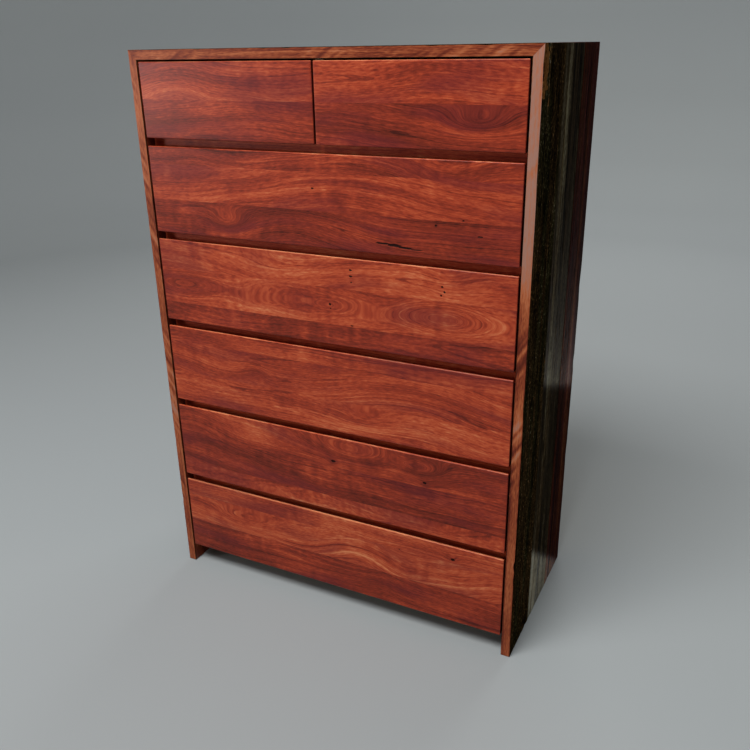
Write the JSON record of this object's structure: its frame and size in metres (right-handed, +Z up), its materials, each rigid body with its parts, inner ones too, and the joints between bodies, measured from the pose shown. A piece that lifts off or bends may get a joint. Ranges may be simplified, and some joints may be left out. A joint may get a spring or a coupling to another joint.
{
  "type": "tallboy chest of drawers",
  "caption": "Tall hardwood chest of drawers with a mitred waterfall carcass, a split top row over full-width drawers, and finger gaps in place of handles.",
  "frame": {"origin": "on the floor under the middle of the carcass: the bottom centre of the bounding box at rest, with all drawers closed", "axes": "+Z up, +X to the right of someone facing the drawers, -Y out of the fronts, +Y towards the back"},
  "size_m": [0.913, 0.43, 1.3],
  "materials": {
    "weathered_hardwood": "old rough-sawn outer face, brushed and sealed, nearly black; planed and oiled on its other faces",
    "red_hardwood": "planed red-brown hardwood, satin oil",
    "shaded_red_hardwood": "planed dark red hardwood, satin oil",
    "pale_hardwood": "planed, matt clear oil",
    "plywood": "thin sanded sheet, matt"
  },
  "bodies": {
    "carcass": {"left_side_panel": "weathered_hardwood", "right_side_panel": "weathered_hardwood", "top_panel": "weathered_hardwood", "bottom_panel": "pale_hardwood", "back_panel": "plywood", "centre_divider": "pale_hardwood", "drawer_rail_1": "shaded_red_hardwood", "drawer_rail_2": "shaded_red_hardwood", "drawer_rail_3": "shaded_red_hardwood", "drawer_rail_4": "shaded_red_hardwood", "drawer_rail_5": "shaded_red_hardwood", "top_left_drawer_runner_left": "pale_hardwood", "top_left_drawer_runner_right": "pale_hardwood", "top_right_drawer_runner_left": "pale_hardwood", "top_right_drawer_runner_right": "pale_hardwood", "second_drawer_runner_left": "pale_hardwood", "second_drawer_runner_right": "pale_hardwood", "third_drawer_runner_left": "pale_hardwood", "third_drawer_runner_right": "pale_hardwood", "fourth_drawer_runner_left": "pale_hardwood", "fourth_drawer_runner_right": "pale_hardwood", "fifth_drawer_runner_left": "pale_hardwood", "fifth_drawer_runner_right": "pale_hardwood", "bottom_drawer_runner_left": "pale_hardwood", "bottom_drawer_runner_right": "pale_hardwood"},
    "top_left_drawer": {"top_left_drawer_front": "red_hardwood", "top_left_drawer_side_left": "pale_hardwood", "top_left_drawer_side_right": "pale_hardwood", "top_left_drawer_back": "pale_hardwood", "top_left_drawer_bottom": "plywood"},
    "top_right_drawer": {"top_right_drawer_front": "red_hardwood", "top_right_drawer_side_left": "pale_hardwood", "top_right_drawer_side_right": "pale_hardwood", "top_right_drawer_back": "pale_hardwood", "top_right_drawer_bottom": "plywood"},
    "second_drawer": {"second_drawer_front": "red_hardwood", "second_drawer_side_left": "pale_hardwood", "second_drawer_side_right": "pale_hardwood", "second_drawer_back": "pale_hardwood", "second_drawer_bottom": "plywood"},
    "third_drawer": {"third_drawer_front": "red_hardwood", "third_drawer_side_left": "pale_hardwood", "third_drawer_side_right": "pale_hardwood", "third_drawer_back": "pale_hardwood", "third_drawer_bottom": "plywood"},
    "fourth_drawer": {"fourth_drawer_front": "red_hardwood", "fourth_drawer_side_left": "pale_hardwood", "fourth_drawer_side_right": "pale_hardwood", "fourth_drawer_back": "pale_hardwood", "fourth_drawer_bottom": "plywood"},
    "fifth_drawer": {"fifth_drawer_front": "red_hardwood", "fifth_drawer_side_left": "pale_hardwood", "fifth_drawer_side_right": "pale_hardwood", "fifth_drawer_back": "pale_hardwood", "fifth_drawer_bottom": "plywood"},
    "bottom_drawer": {"bottom_drawer_front": "red_hardwood", "bottom_drawer_side_left": "pale_hardwood", "bottom_drawer_side_right": "pale_hardwood", "bottom_drawer_back": "pale_hardwood", "bottom_drawer_bottom": "plywood"}
  },
  "joints": [
    {"name": "top_left_drawer_slide", "type": "slide", "parent": "carcass", "child": "top_left_drawer", "axis": [0, -1, 0], "range_m": [0, 0.28]},
    {"name": "top_right_drawer_slide", "type": "slide", "parent": "carcass", "child": "top_right_drawer", "axis": [0, -1, 0], "range_m": [0, 0.28]},
    {"name": "second_drawer_slide", "type": "slide", "parent": "carcass", "child": "second_drawer", "axis": [0, -1, 0], "range_m": [0, 0.28]},
    {"name": "third_drawer_slide", "type": "slide", "parent": "carcass", "child": "third_drawer", "axis": [0, -1, 0], "range_m": [0, 0.28]},
    {"name": "fourth_drawer_slide", "type": "slide", "parent": "carcass", "child": "fourth_drawer", "axis": [0, -1, 0], "range_m": [0, 0.28]},
    {"name": "fifth_drawer_slide", "type": "slide", "parent": "carcass", "child": "fifth_drawer", "axis": [0, -1, 0], "range_m": [0, 0.28]},
    {"name": "bottom_drawer_slide", "type": "slide", "parent": "carcass", "child": "bottom_drawer", "axis": [0, -1, 0], "range_m": [0, 0.28]}
  ]
}
